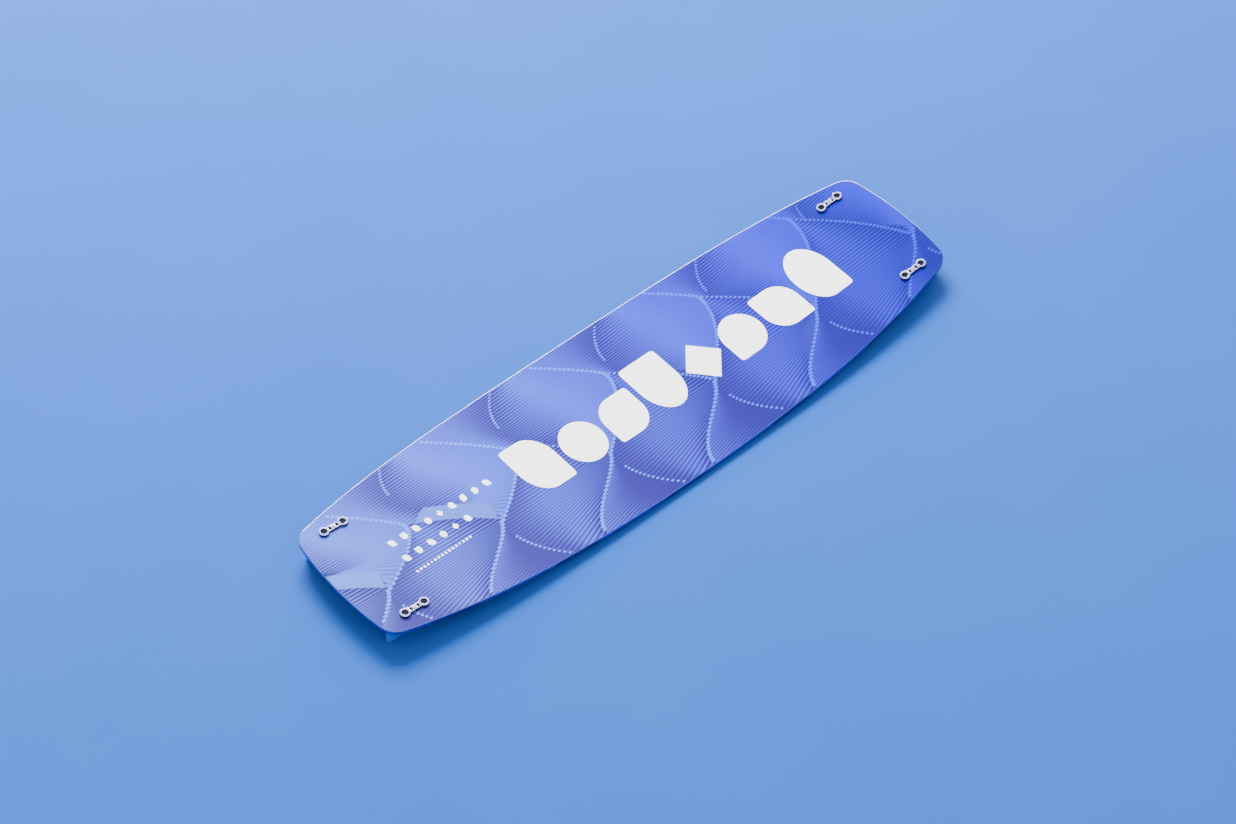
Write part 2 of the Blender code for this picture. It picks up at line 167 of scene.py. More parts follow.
def deckHeight(x):
    return hullHeight(x) + board["thickness"]


# Making meshes


def mend(mesh, merge=None, fill=False):
    # joins near points or closes open ends, and turns every face outward
    bm = bmesh.new()
    bm.from_mesh(mesh)
    if merge is not None:
        bmesh.ops.remove_doubles(bm, verts=bm.verts, dist=merge)
    if fill:
        bmesh.ops.holes_fill(bm, edges=[edge for edge in bm.edges if edge.is_boundary], sides=0)
    bmesh.ops.recalc_face_normals(bm, faces=bm.faces)
    bm.to_mesh(mesh)
    bm.free()
    mesh.shade_smooth()


def putMesh(name, points, faces, uv=None, merge=None):
    # one object from arrays of points and quads; uv holds a pair for each corner of each face
    mesh = bpy.data.meshes.new(name)
    faces = np.asarray(faces)
    mesh.vertices.add(len(points))
    mesh.vertices.foreach_set("co", np.ascontiguousarray(points, np.float32).ravel())
    mesh.loops.add(faces.size)
    mesh.loops.foreach_set("vertex_index", faces.astype(np.int32).ravel())
    mesh.polygons.add(len(faces))
    mesh.polygons.foreach_set("loop_start", np.arange(0, faces.size, faces.shape[1], dtype=np.int32))
    mesh.polygons.foreach_set("loop_total", np.full(len(faces), faces.shape[1], np.int32))
    if uv is not None:
        layer = mesh.uv_layers.new(name="strokes")
        layer.data.foreach_set("uv", np.ascontiguousarray(uv, np.float32).ravel())
    mesh.update(calc_edges=True)
    mesh.validate()
    mesh.shade_smooth()
    if merge is not None:
        mend(mesh, merge=merge)
    piece = bpy.data.objects.new(name, mesh)
    bpy.context.scene.collection.objects.link(piece)
    return piece


def gridFaces(rows, columns, closedRows=False, closedColumns=False, start=0):
    # quads between neighbouring rows and columns of a grid of points, joined round where closed
    r = np.arange(rows if closedRows else rows - 1)
    c = np.arange(columns if closedColumns else columns - 1)
    r, c = np.meshgrid(r, c, indexing="ij")
    nextRow, nextColumn = (r + 1) % rows, (c + 1) % columns
    quads = [r * columns + c, r * columns + nextColumn, nextRow * columns + nextColumn, nextRow * columns + c]
    return np.stack(quads, axis=-1).reshape(-1, 4) + start


def gridPiece(name, points, closedRows=False, closedColumns=False, uv=None, merge=1e-7):
    # a surface from a grid of points, with the grid's own uv at each corner
    rows, columns = points.shape[:2]
    faces = gridFaces(rows, columns, closedRows, closedColumns)
    corners = None if uv is None else uv.reshape(-1, 2)[faces].reshape(-1, 2)
    return putMesh(name, points.reshape(-1, 3), faces, corners, merge)


def squarishTurn(count, powerX, powerY, start=0.0):
    # once round a superellipse: a power of 2 is round, larger ones are squarer, and 1 is cut straight
    turn = np.linspace(0, 2 * math.pi, count, endpoint=False) + start
    x, y = np.cos(turn), np.sin(turn)
    return np.sign(x) * np.abs(x) ** (2 / powerX), np.sign(y) * np.abs(y) ** (2 / powerY)


def raised(x, y, height):
    # rows of points, each row at a height of its own
    return np.stack([x, y, np.broadcast_to(height[:, None], x.shape)], -1)


def sharpen(piece, degrees):
    piece.data.set_sharp_from_angle(angle=math.radians(degrees))
    return piece


def dress(piece, material, slot=None, body="root"):
    piece.data.materials.clear()
    piece.data.materials.append(material)
    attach(piece, body)
    return piece


# Materials


class Nodes:
    # short names for building a node tree; its place is the piece's own coordinates
    def __init__(self, name):
        self.material = bpy.data.materials.new(name)
        self.material.use_nodes = True
        self.tree = self.material.node_tree
        self.shader = self.tree.nodes["Principled BSDF"]
        self.place = self.add("ShaderNodeTexCoord").outputs["Object"]

    def plug(self, socket, value):
        if isinstance(value, bpy.types.NodeSocket):
            self.tree.links.new(value, socket)
        elif isinstance(value, tuple) and len(value) == 3 and len(socket.default_value) == 4:
            socket.default_value = (*value, 1.0)
        else:
            socket.default_value = value

    def add(self, kind, sockets=None, **settings):
        node = self.tree.nodes.new(kind)
        for key, value in settings.items():
            setattr(node, key, value)
        for key, value in (sockets or {}).items():
            self.plug(node.inputs[key], value)
        return node

    def split(self, vector=None):
        vector = self.place if vector is None else vector
        return self.add("ShaderNodeSeparateXYZ", {0: vector}).outputs[:3]

    def strokes(self):
        return self.split(self.add("ShaderNodeUVMap", uv_map="strokes").outputs[0])

    def math(self, operation, *values):
        return self.add("ShaderNodeMath", dict(enumerate(values)), operation=operation).outputs[0]

    def ease(self, value, low, high, first=0.0, last=1.0):
        # a smooth step from one value to another between two limits
        sockets = dict(enumerate((value, low, high, first, last)))
        return self.add("ShaderNodeMapRange", sockets, interpolation_type="SMOOTHSTEP").outputs[0]

    def mix(self, share, first, second):
        return self.add("ShaderNodeMix", {0: share, 6: first, 7: second}, data_type="RGBA").outputs[2]

    def ramp(self, value, stops):
        node = self.add("ShaderNodeValToRGB", {0: value})
        elements = node.color_ramp.elements
        while len(elements) < len(stops):
            elements.new(0.5)
        for element, (position, color) in zip(elements, stops):
            element.position = position
            element.color = (*color, 1.0)
        return node.outputs[0]

    def noise(self, scale, detail, roughness=0.5, stretch=None):
        place = self.place
        if stretch:
            place = self.add("ShaderNodeMapping", {"Vector": place, "Scale": stretch}).outputs[0]
        sockets = {"Vector": place, "Scale": scale, "Detail": detail, "Roughness": roughness}
        return self.add("ShaderNodeTexNoise", sockets).outputs[0]

    def bump(self, height, strength, distance):
        sockets = {"Strength": strength, "Distance": distance, "Height": height}
        self.plug(self.shader.inputs["Normal"], self.add("ShaderNodeBump", sockets).outputs[0])

    def crossed(self, a, b, rate):
        # two sets of waves along the diagonals of two coordinates
        sums = self.math("ADD", a, b), self.math("SUBTRACT", a, b)
        return [self.math("SINE", self.math("MULTIPLY", value, rate)) for value in sums]

    def finish(self, **inputs):
        # sets the shader's inputs, whose names are given with underscores for spaces
        for key, value in inputs.items():
            self.plug(self.shader.inputs[key.replace("_", " ")], value)
        return self.material


gloss = {
    "roughness": 0.30,
    "spread": 0.015,  # how far the roughness strays
    "specular": 0.12,
    "coat": 0.08,
    "edgeCoat": 0.9,
    "coatRoughness": 0.12,
}
tints = {
    # each print colour, as red, green and blue, at five places from the left tip to the right tip; the paling
    # towards the left tip is partly the print's own fade and partly a painted reflection of the sky
    "light": [
        (0.060, 0.106, 0.546), (0.041, 0.074, 0.541), (0.024, 0.040, 0.475),
        (0.0104, 0.0135, 0.473), (0.0004, 0.0004, 0.429),
    ],
    "middle": [
        (0.046, 0.056, 0.28), (0.030, 0.036, 0.28), (0.016, 0.024, 0.28),
        (0.005, 0.007, 0.25), (0, 0, 0.19),
    ],
    "deep": [
        (0.0245, 0.017, 0.154), (0.017, 0.009, 0.149), (0.011, 0.004, 0.122),
        (0.0055, 0.001, 0.136), (0, 0, 0.140),
    ],
    "line": [
        (0.013, 0.0065, 0.100), (0.0075, 0.0025, 0.099), (0.0045, 0.0005, 0.079),
        (0.001, 0, 0.085), (0, 0, 0.0815),
    ],
    "bead": [
        (0.076, 0.180, 0.759), (0.057, 0.153, 0.748), (0.0375, 0.111, 0.70),
        (0.018, 0.053, 0.66), (0.004, 0.012, 0.551),
    ],
    "patch": [
        (0.071, 0.137, 0.51), (0.050, 0.099, 0.48), (0.022, 0.036, 0.294),
        (0.010, 0.011, 0.222), (0.002, 0.0025, 0.203),
    ],
    "edge": [(0, 0, 0.19), (0, 0, 0.18), (0, 0, 0.17), (0, 0, 0.16), (0, 0, 0.15)],
}
tintPlaces = {"first": 0.04, "step": 0.23}  # of those five, as shares of the board's length
edgeLook = {
    # where the edge is bright, by the place within a repeat, and the marks between which inks change
    "brightAt": 0.70,
    "brightReach": (0.30, 0.36),
    "brightShare": 0.75,
    "deckMarks": (0.0016, 0.0024),
    "rimMarks": (0.0014, 0.0018),
    "baseMarks": (0.0026, 0.0030),
}


def boardTint(nodes, name):
    # the colour of that name, changing along the board: partly print, and partly a painted reflection that
    # makes it paler towards the left tip
    along = nodes.math("MULTIPLY_ADD", nodes.split()[0], 1 / board["length"], 0.5)
    first, step = tintPlaces["first"], tintPlaces["step"]
    return nodes.ramp(along, [(first + step * i, color) for i, color in enumerate(tints[name])])


def printGloss(nodes, color, coat=gloss["coat"]):
    # the clear coat over every print: fine orange peel, and a little variation in the gloss
    grain = nodes.noise(900.0, 2.0)
    haze = nodes.noise(14.0, 3.0)
    nodes.bump(grain, 0.06, 0.0002)
    low, high = gloss["roughness"] - gloss["spread"], gloss["roughness"] + gloss["spread"]
    return nodes.finish(
        Base_Color=color,
        Roughness=nodes.ease(haze, 0.1, 0.9, low, high),
        Specular_IOR_Level=gloss["specular"],
        Coat_Weight=coat,
        Coat_Roughness=gloss["coatRoughness"],
    )


def strokeMaterial(name, look):
    # the share of light ink rises and falls along a stroke, and swings from stroke to stroke
    nodes = Nodes(name)
    u, v, _ = nodes.strokes()
    swing = nodes.math("ABSOLUTE", nodes.math("SUBTRACT", nodes.math("FRACT", v), 0.5))
    swing = nodes.ease(swing, 0.06, 0.46, 1.0, -1.0)
    share = nodes.math("MULTIPLY", nodes.ease(u, *look["rise"]), nodes.ease(u, *look["fall"]))
    share = nodes.math("MULTIPLY_ADD", swing, nodes.ease(u, 0.0, 1.0, *look["depth"]), share)
    inks = {tint: boardTint(nodes, tint) for tint in ("deep", "light", "line", "bead")}
    fill = nodes.mix(nodes.ease(share, 0.0, 1.0), inks["deep"], inks["light"])
    fill = nodes.mix(nodes.ease(share, -0.5, 0.0, 1.0, 0.0), fill, inks["line"])
    fill = nodes.mix(nodes.ease(share, 1.0, 1.6), fill, inks["bead"])
    return printGloss(nodes, fill)


def plainPrint(name, tint):
    # one ink with a faint mottle
    nodes = Nodes(name)
    fill = boardTint(nodes, tint)
    mottle = nodes.noise(60.0, 3.0)
    fill = nodes.mix(nodes.ease(mottle, 0.3, 0.7, 0.0, 0.10), fill, boardTint(nodes, "middle"))
    return printGloss(nodes, fill)


def whiteInk():
    # near white with a faint mottle
    nodes = Nodes("whiteInk")
    mottle = nodes.noise(120.0, 3.0)
    fill = nodes.mix(nodes.ease(mottle, 0.3, 0.7), (0.86, 0.86, 0.87), (0.82, 0.82, 0.84))
    return printGloss(nodes, fill)


def deckInk():
    # the deck's ground colour, which turns to the rail's deep blue where the sheet rolls over the edge
    nodes = Nodes("deckInk")
    _, v, _ = nodes.strokes()
    ground = boardTint(nodes, "middle")
    flat = nodes.ease(v, *edgeLook["deckMarks"])
    return printGloss(nodes, nodes.mix(flat, edgeInk(nodes), ground), gloss["edgeCoat"])


def edgeInk(nodes):
    # deep blue, brighter where the print's open stretches run over the edge
    x, _, _ = nodes.split()
    phase = nodes.math("DIVIDE", nodes.math("SUBTRACT", x, fold["firstTop"]), fold["period"])
    away = nodes.math("ABSOLUTE", nodes.math("SUBTRACT", nodes.math("FRACT", phase), edgeLook["brightAt"]))
    openness = nodes.ease(away, *edgeLook["brightReach"], 1.0, 0.0)
    streak = nodes.noise(160.0, 2.0, stretch=(1.0, 1.0, 0.15))
    bright = nodes.mix(nodes.ease(streak, 0.35, 0.65, 0.2, 0.8), (0.001, 0.030, 0.50), (0.000, 0.006, 0.26))
    share = nodes.math("MULTIPLY", openness, edgeLook["brightShare"])
    return nodes.mix(share, boardTint(nodes, "edge"), bright)


def railMaterial():
    # the edge's ink on a plain side wall, with fine scuffs along it
    nodes = Nodes("absRail")
    fill = edgeInk(nodes)
    scuff = nodes.noise(220.0, 3.0, stretch=(1.0, 1.0, 6.0))
    nodes.bump(scuff, 0.12, 0.0004)
    roughness = nodes.ease(scuff, 0.3, 0.7, 0.30, 0.44)
    return nodes.finish(Base_Color=fill, Roughness=roughness)


# The deck print: ribbons of strokes that lean, pinch and fan, repeated along the board

fold = {
    "period": 0.257,
    "firstTop": -0.8605,  # x of the first repeat, which lies past the left tip
    "count": 7,
    "pitch": 0.0061,  # between two strokes
    "wavePitch": 0.00732,
    "inset": 0.0019,  # from the edge of the board to the print's own edge
    "sunk": 0.00002,  # how deep a film's underside lies in the deck
    "columns": 26,
    "rowsPerStroke": 4,
    "samples": 241,  # along a stroke, to find where it crosses the print's edge
    "shortest": 0.0006,
    "leastShare": 0.004,  # of a stroke that has to lie inside the edge
}
films = {
    # height of each film over the deck
    "lower": 0.00004,
    "upper": 0.00004,
    "wave": 0.00008,
    "crest": 0.00012,
    "patch": 0.00016,
    "bead": 0.00022,
}
turns = {
    # the curves' key points: x from the repeat's own place, y from the middle of the board
    "crest": 0.100,
    "pinch": (-0.016, -0.060),
    "belly": (-0.136, 0.114),
    "wave": (0.243, -0.050),
    "foot": (-0.018, -0.075),
}
bows = {
    # how far each curve bends sideways, and over what height
    "crest": (0.096, 0.100),
    "belly": (0.032, 0.072),
    "lean": (0.122, 0.147),
    "wave": (0.129, 0.155),
    "foot": (0.068, 0.128),
}
shoulders = {"first": 0.021, "step": 0.024, "least": 0.030, "most": 0.150}
leans = {
    # slopes of the strokes: the most, where it begins, over what height, and a power
    "crest": (0.075, 0.05, 0.10),
    "fan": (-1.2, 0.045, 0.100, 2.2),
    "wave": (0.40, -0.050, 0.150, 1.25),
    "lower": (0.14, -0.09, 0.08),
    "lowerLeast": 0.10,
    "upper": 0.085,
}


def smooth(t):
    t = np.clip(t, 0, 1)
    return t * t * (3 - 2 * t)


def shoulder(k):
    # the height of a crest's shoulder, which climbs from one repeat to the next
    return min(shoulders["most"], max(shoulders["least"], shoulders["first"] + shoulders["step"] * k))


def crestRight(k):
    # above the shoulder a bowed slope, below it a quarter wave down to the pinch
    high, crestX, (pinchX, pinchY) = shoulder(k), turns["crest"], turns["pinch"]
    bow, over = bows["crest"]

    def curve(y):
        above = crestX - bow * (np.clip(y - high, 0, None) / over) ** 1.15
        drop = np.clip((high - y) / (high - pinchY), 0, 1)
        below = pinchX + (crestX - pinchX) * np.cos(math.pi / 2 * drop)
        return np.where(y > high, above, below)

    return curve


def crestLeft(y):
    # a parabola above the belly, then a smooth lean over to the pinch
    (bellyX, bellyY), (bow, over), (lean, leanOver) = turns["belly"], bows["belly"], bows["lean"]
    above = bellyX + bow * (np.clip(y - bellyY, 0, None) / over) ** 2
    below = bellyX + lean * smooth(np.clip((bellyY - y) / leanOver, 0, 1) ** 1.3)
    return np.where(y > bellyY, above, below)


def waveSeam(k, t):
    # from the crest's shoulder to the wave's turn: a slope with half a wave on it
    high, crestX, (waveX, waveY) = shoulder(k), turns["crest"], turns["wave"]
    swell = 0.014 * np.sin(math.pi * t)
    return crestX + (waveX - crestX) * t + swell, high - (high - waveY) * t


def waveRight(k):
    # the seam, then a half wave back under the turn
    high, (waveX, waveY), (back, over) = shoulder(k), turns["wave"], bows["wave"]

    def curve(y):
        above, _ = waveSeam(k, np.clip((high - y) / (high - waveY), 0, 1))
        s = np.clip((waveY - y) / over, 0, 1) ** 0.85
        below = waveX - back * (0.5 - 0.5 * np.cos(math.pi * s))
        return np.where(y > waveY, above, below)

    return curve


def waveLeftFull(k):
    # the wave's own left edge, carried up just behind the crest
    crest, pinchY = crestRight(k), turns["pinch"][1]

    def curve(y):
        behind = 0.002 + 0.008 * smooth((y - pinchY) / 0.030)
        return np.where(y < pinchY, waveLeft(y), crest(y) - behind)

    return curve


def crestLeftFull(k):
    # a crest starts at its own left edge, or at the seam before it where that lies further right
    seam = waveRight(k - 1)
    return lambda y: np.where(y > -0.040, np.maximum(crestLeft(y), seam(y) - fold["period"]), crestLeft(y))


def waveLeft(y):
    # a parabola that leaves the pinch downwards and swings to the right
    (footX, footY), (bow, over) = turns["foot"], bows["foot"]
    return footX + bow * (np.clip(footY - y, 0, None) / over) ** 2


def meetCurve(curve, x0, y0, slope, rounds=24):
    # where each stroke, a line through (x0, y0), meets a curve x = curve(y)
    y = y0.copy()
    for _ in range(rounds):
        y = 0.5 * y + 0.5 * (y0 + slope * (curve(y) - x0))
    return curve(y), y


def strokeGrid(left, right, anchor, heights, slopes, top):
    # rows are strokes between two curves, each through its anchor curve at its own height and slope
    if anchor == "right":
        xr, yr = right(heights), heights
        xl, yl = meetCurve(left, xr, yr, slopes)
    else:
        xl, yl = left(heights), heights
        xr, yr = meetCurve(right, xl, yl, slopes)
    ends = np.stack([np.stack([xl + top, yl], -1), np.stack([xr + top, yr], -1)], 1)
    fine = np.linspace(0, 1, fold["samples"])
    lines = ends[:, None, 0] * (1 - fine[None, :, None]) + ends[:, None, 1] * fine[None, :, None]
    inside = edgeDistance(lines[..., 0], lines[..., 1]) - fold["inset"]
    held = inside > 0
    lengths = np.hypot(*(ends[:, 1] - ends[:, 0]).T)
    rows = np.flatnonzero(held.any(1) & (lengths > fold["shortest"]))
    if len(rows) < 3:
        return None
    first = held[rows].argmax(1)
    last = held.shape[1] - 1 - held[rows, ::-1].argmax(1)

    def crossing(outer, inner):
        # the exact share along the stroke at which it crosses the print's edge
        a, b = inside[rows, outer], inside[rows, inner]
        share = np.where(outer == inner, 0, a / np.where(a == b, 1, a - b))
        return fine[outer] + (fine[inner] - fine[outer]) * share

    start = crossing(np.maximum(first - 1, 0), first)
    start = np.where(first == 0, 0, start)
    end = crossing(np.minimum(last + 1, len(fine) - 1), last)
    end = np.where(last == len(fine) - 1, 1, end)
    keep = end - start > fold["leastShare"]
    rows, start, end = rows[keep], start[keep], end[keep]
    u = start[:, None] + (end - start)[:, None] * np.linspace(0, 1, fold["columns"])[None]
    plan = ends[rows, None, 0] * (1 - u[..., None]) + ends[rows, None, 1] * u[..., None]
    count = np.broadcast_to(rows[:, None] / fold["rowsPerStroke"], u.shape)
    return plan, np.stack([u, count], -1)


def filmPiece(name, plan, uv, level):
    # a closed film on the deck: the grid lifted to its level, the same grid sunk below the deck, and a rim
    rows, columns = plan.shape[:2]
    x, y = plan[..., 0], plan[..., 1]
    upper = np.stack([x, y, deckHeight(x) + level], -1)
    lower = np.stack([x, y, deckHeight(x) - fold["sunk"]], -1)
    points = np.concatenate([upper.reshape(-1, 3), lower.reshape(-1, 3)])
    topFaces = gridFaces(rows, columns)
    half = rows * columns
    index = np.arange(half).reshape(rows, columns)
    loop = np.concatenate([index[0, :-1], index[:-1, -1], index[-1, :0:-1], index[:0:-1, 0]])
    follow = np.roll(loop, -1)
    rim = np.stack([loop, loop + half, follow + half, follow], -1)
    faces = np.concatenate([topFaces, topFaces[:, ::-1] + half, rim])
    flat = np.concatenate([uv.reshape(-1, 2)] * 2)
    piece = putMesh(name, points, faces, flat[faces].reshape(-1, 2), 1e-7)
    return sharpen(piece, 40)


def strokeHeights(top, bottom, pitch):
    step = pitch / fold["rowsPerStroke"]
    return np.arange(top, bottom, -step)


def crestSlopes(y):
    # a light lean up to the right at the top, level in the middle, and a fan round the pinch below
    most, start, over = leans["crest"]
    fan, fanStart, fanOver, power = leans["fan"]
    return most * smooth((y - start) / over) + fan * np.clip((fanStart - y) / fanOver, 0, 1) ** power


def waveSlopes(y):
    # level at the pinch, and steeper the further down the stroke starts
    most, start, over, power = leans["wave"]
    return most * np.clip((start - y) / over, 0, None) ** power


def lowerSlopes(y):
    most, start, over = leans["lower"]
    return leans["lowerLeast"] + most * smooth((start - y) / over)


def upperSlopes(y):
    return leans["upper"] + 0 * y


def shifted(curve, by):
    return lambda y: curve(y) + by


def ribbonSets(k):
    # the four ribbons of one repeat: both edges, the edge that strokes hang from, heights and slopes
    pitch, period = fold["pitch"], fold["period"]
    before = shifted(waveRight(k - 1), -period)
    after = shifted(crestLeft, period)
    yield "lower", before, waveLeft, "left", (-0.052, -0.29, pitch), lowerSlopes
    yield "upper", crestRight(k), after, "right", (0.215, -0.040, pitch), upperSlopes
    yield "wave", waveLeftFull(k), waveRight(k), "left", (shoulder(k), -0.34, fold["wavePitch"]), waveSlopes
    yield "crest", crestLeftFull(k), crestRight(k), "right", (0.230, -0.060, pitch), crestSlopes


crescents = {
    # the repeats that have one, its width, and the shares of its length that are rounded and drawn out
    "upper": {"repeats": (0, 1), "start": 0.10, "width": 0.034, "round": 0.07, "taper": 0.14},
    "lower": {"repeats": (4, 5), "ends": (-0.160, -0.060), "width": 0.040, "round": 0.18, "taper": 0.75},
    "across": (0.63, 0.78),  # direction of the upper one's width
    "lowerPoint": 0.80,
}


def upperCrescent(k, top):
    # lies on a wave's seam: round at its upper end and drawn out to a point at the turn
    look, (acrossX, acrossY) = crescents["upper"], crescents["across"]

    def plan(t, share):
        x, y = waveSeam(k, look["start"] + (1 - look["start"]) * t)
        end = smooth((t - 1 + look["taper"]) / look["taper"])
        width = look["width"] * np.sqrt(np.clip(t / look["round"], 0, 1)) * (1 - end)
        return np.stack([x + acrossX * width * share + top, y + acrossY * width * share], -1)

    return plan


def lowerCrescent(k, top):
    # lies inside a wave's turn, along its right edge
    look, right = crescents["lower"], waveRight(k)

    def plan(t, share):
        low, high = look["ends"]
        y = high - (high - low) * (1 - t)
        end = smooth((crescents["lowerPoint"] - t) / look["taper"])
        width = look["width"] * np.sqrt(np.clip((1 - t) / look["round"], 0, 1)) * (1 - end)
        return np.stack([right(y) - width * share + top, y], -1)

    return plan


def crescentGrid(plan, rows=8, columns=44):
    # each line of the crescent starts where it comes inside the print's edge
    share = np.linspace(1, 0, rows)[:, None]
    fine = np.linspace(0, 1, fold["samples"])[None] + 0 * share
    x, y = np.moveaxis(plan(fine, share), -1, 0)
    inside = edgeDistance(x, y) > fold["inset"]
    start = fine[0, inside.argmax(1)][:, None]
    t = start + (1 - start) * np.linspace(0.002, 0.998, columns)[None]
    return plan(t, share), np.stack([t, share + 0 * t], -1)


beads = {
    "sides": 14,
    "power": 2.5,
    "lean": 0.05,  # slope of a bead's long side
    # shares of a bead's size and of its film's height, where -1 stands for the sunk underside
    "profile": ((1.0, -1.0), (1.0, 0.55), (0.72, 1.0), (0.02, 1.1)),
}
beadRows = {
    # both ends of each row, its step as a share of the pitch, and half a bead's length and width
    "crest": ((-0.056, 0.200), 1.0, (0.0038, 0.0027)),
    "wave": ((-0.200, -0.056), 1.02, (0.0044, 0.0029)),
    "belly": ((0.120, 0.200), 1.0, (0.0028, 0.0020)),
    "foot": ((-0.210, -0.100), 1.2, (0.0030, 0.0022)),
    "seam": ((-0.046, 0.004), 1.0, (0.0034, 0.0024)),  # its upper end is given down from the shoulder
}


def beadPiece(name, places, sizes, level):
    # beads in rows: each a sunk ring of points, the same ring raised, a smaller one and a top
    inside = edgeDistance(places[:, 0], places[:, 1]) > fold["inset"] + sizes.max(1)
    places, sizes = places[inside], sizes[inside]
    if not len(places):
        return None
    sides = beads["sides"]
    ring = np.stack(squarishTurn(sides, beads["power"], beads["power"]), -1)
    angle = math.atan(beads["lean"])
    rings = []
    for share, lift in beads["profile"]:
        local = ring[None] * sizes[:, None] * share
        x = places[:, None, 0] + local[..., 0] * math.cos(angle) - local[..., 1] * math.sin(angle)
        y = places[:, None, 1] + local[..., 0] * math.sin(angle) + local[..., 1] * math.cos(angle)
        height = -fold["sunk"] if lift < 0 else level * lift
        rings.append(np.stack([x, y, deckHeight(x) + height], -1))
    points = np.stack(rings, 1)
    one = gridFaces(len(rings), sides, closedColumns=True)
    faces = (one[None] + np.arange(len(places))[:, None, None] * len(rings) * sides).reshape(-1, 4)
    piece = putMesh(name, points.reshape(-1, 3), faces)
    mend(piece.data, fill=True)
    return sharpen(piece, 60)


looks = {
    # how much light ink: from and to where along a stroke, and its share there; depth is the swing at
    # each end
    "crest": {"rise": (-0.05, 0.58, 0.05, 0.92), "fall": (0.60, 1.0, 1.0, 0.75), "depth": (0.48, 0.22)},
    "wave": {"rise": (0.0, 0.42, 0.10, 0.56), "fall": (0.50, 1.04, 1.0, 0.0), "depth": (0.22, 0.50)},
    "lower": {"rise": (-1.0, 0.0, 1.0, 1.0), "fall": (0.0, 0.9, 0.48, 0.04), "depth": (0.30, 0.18)},
    "upper": {"rise": (-1.0, 0.0, 1.0, 1.0), "fall": (0.1, 1.0, 0.66, 0.14), "depth": (0.20, 0.28)},
}


def makePrint():
    inks = {kind: strokeMaterial(kind + "Ink", look) for kind, look in looks.items()}
    patchInk = plainPrint("patchInk", "patch")
    beadInk = plainPrint("beadInk", "bead")
    for k in range(fold["count"]):
        top = fold["firstTop"] + k * fold["period"]
        for kind, left, right, anchor, (high, low, pitch), slopeOf in ribbonSets(k):
            heights = strokeHeights(high, low, pitch)
            made = strokeGrid(left, right, anchor, heights, slopeOf(heights), top)
            if made is None:
                continue
            dress(filmPiece(f"print_{kind}_{k}", *made, films[kind]), inks[kind], "printed_deck")
        for kind, shape in (("upper", upperCrescent), ("lower", lowerCrescent)):
            if k in crescents[kind]["repeats"]:
                piece = filmPiece(f"print_crescent_{k}", *crescentGrid(shape(k, top)), films["patch"])
                dress(piece, patchInk, "printed_deck")
        makeBeads(k, top, beadInk)


def makeBeads(k, top, ink):
    # rows of beads along one repeat's curves; only from the third repeat on is the seam beaded too
    curves = {"crest": crestRight(k), "wave": waveRight(k), "belly": crestLeft, "foot": waveLeft}
    if k > 1:
        curves["seam"] = waveRight(k)
    places, sizes = [], []
    for name, curve in curves.items():
        (low, high), step, half = beadRows[name]
        y = np.arange(low, shoulder(k) - high if name == "seam" else high, step * fold["pitch"])
        places.append(np.stack([curve(y) + top, y], -1))
        sizes.append(np.tile(half, (len(y), 1)))
    piece = beadPiece(f"print_beads_{k}", np.concatenate(places), np.concatenate(sizes), films["bead"])
    if piece:
        dress(piece, ink, "printed_deck")


# The board's skins and rails


def shellRows(profile, flatSteps, ring):
    # rows of points from the middle line over the top, round the edge profile and back underneath, each
    # with a mark: above flatMark on the top, and falling to 0 along the edge's round
    flat = np.linspace(1, 0, flatSteps + 1)[:-1]
    lengths = np.hypot(*np.diff(np.array(profile), axis=0).T)
    runs = np.concatenate([[0.0], np.cumsum(lengths)])
    steps = [(share, *profile[0], board["flatMark"] + share) for share in flat]
    steps += [(0.0, *point, max(0.0, board["rimMark"] - run)) for point, run in zip(profile, runs)]
    steps += [(share, *profile[-1], 0.0) for share in flat[::-1]]
    medial = np.stack([ring[:, 0] * board["medial"], 0 * ring[:, 0]], -1)
    rows = []
    for share, inset, level, _ in steps:
        plan = (ring[:, :2] - inset * ring[:, 2:]) * (1 - share) + medial * share
        rows.append(np.column_stack([plan, hullHeight(plan[:, 0]) + level]))
    return np.array(rows), np.array([step[-1] for step in steps])


def shellPiece(name, profile, flatSteps=14):
    ring = edgeRing()
    rows, places = shellRows(profile, flatSteps, ring)
    run = np.linspace(0, 1, len(ring))
    uv = np.stack(np.broadcast_arrays(run[None, :], places[:, None]), -1)
    return gridPiece(name, rows, closedColumns=True, uv=uv, merge=2e-6)


skins = {
    # inset and drop below the deck: a shallow slope round the rim, then a tight round to the upright edge
    "round": [
        (0.0021, 0.0), (0.0019, 0.00004), (0.0017, 0.00010), (0.0007, 0.00044), (0.0004, 0.00058),
        (0.0002, 0.00078), (0.00005, 0.00105), (0.0, 0.00140),
    ],
    "lip": (0.0006, 0.0008),  # how thick the sheet is at its foot and beside the round
    "sheet": 0.00075,  # a little thinner than in the CAD, clear of the laminate
}


def makeSkins():
    # the base has the deck's section with its heights turned over
    thick, radius = board["thickness"], board["edgeRound"]
    rim, (foot, knee) = thick - radius - board["edgeStep"], skins["lip"]
    section = [(inset, thick - drop) for inset, drop in skins["round"]]
    section += [(0.0, rim), (foot, rim), (knee, thick - radius), (radius, thick - skins["sheet"])]
    turned = [(inset, thick - level) for inset, level in section]
    for name, node, profile, ink, slot in (
        ("deck_sheet", "top_sheet", section, deckInk(), "printed_deck"),
        ("base_skin", "base_sheet", turned, baseInk(), "printed_base"),
    ):
        skin = shellPiece(name, profile)
        dress(sharpen(skin, 50), ink, slot)
        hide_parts(node)


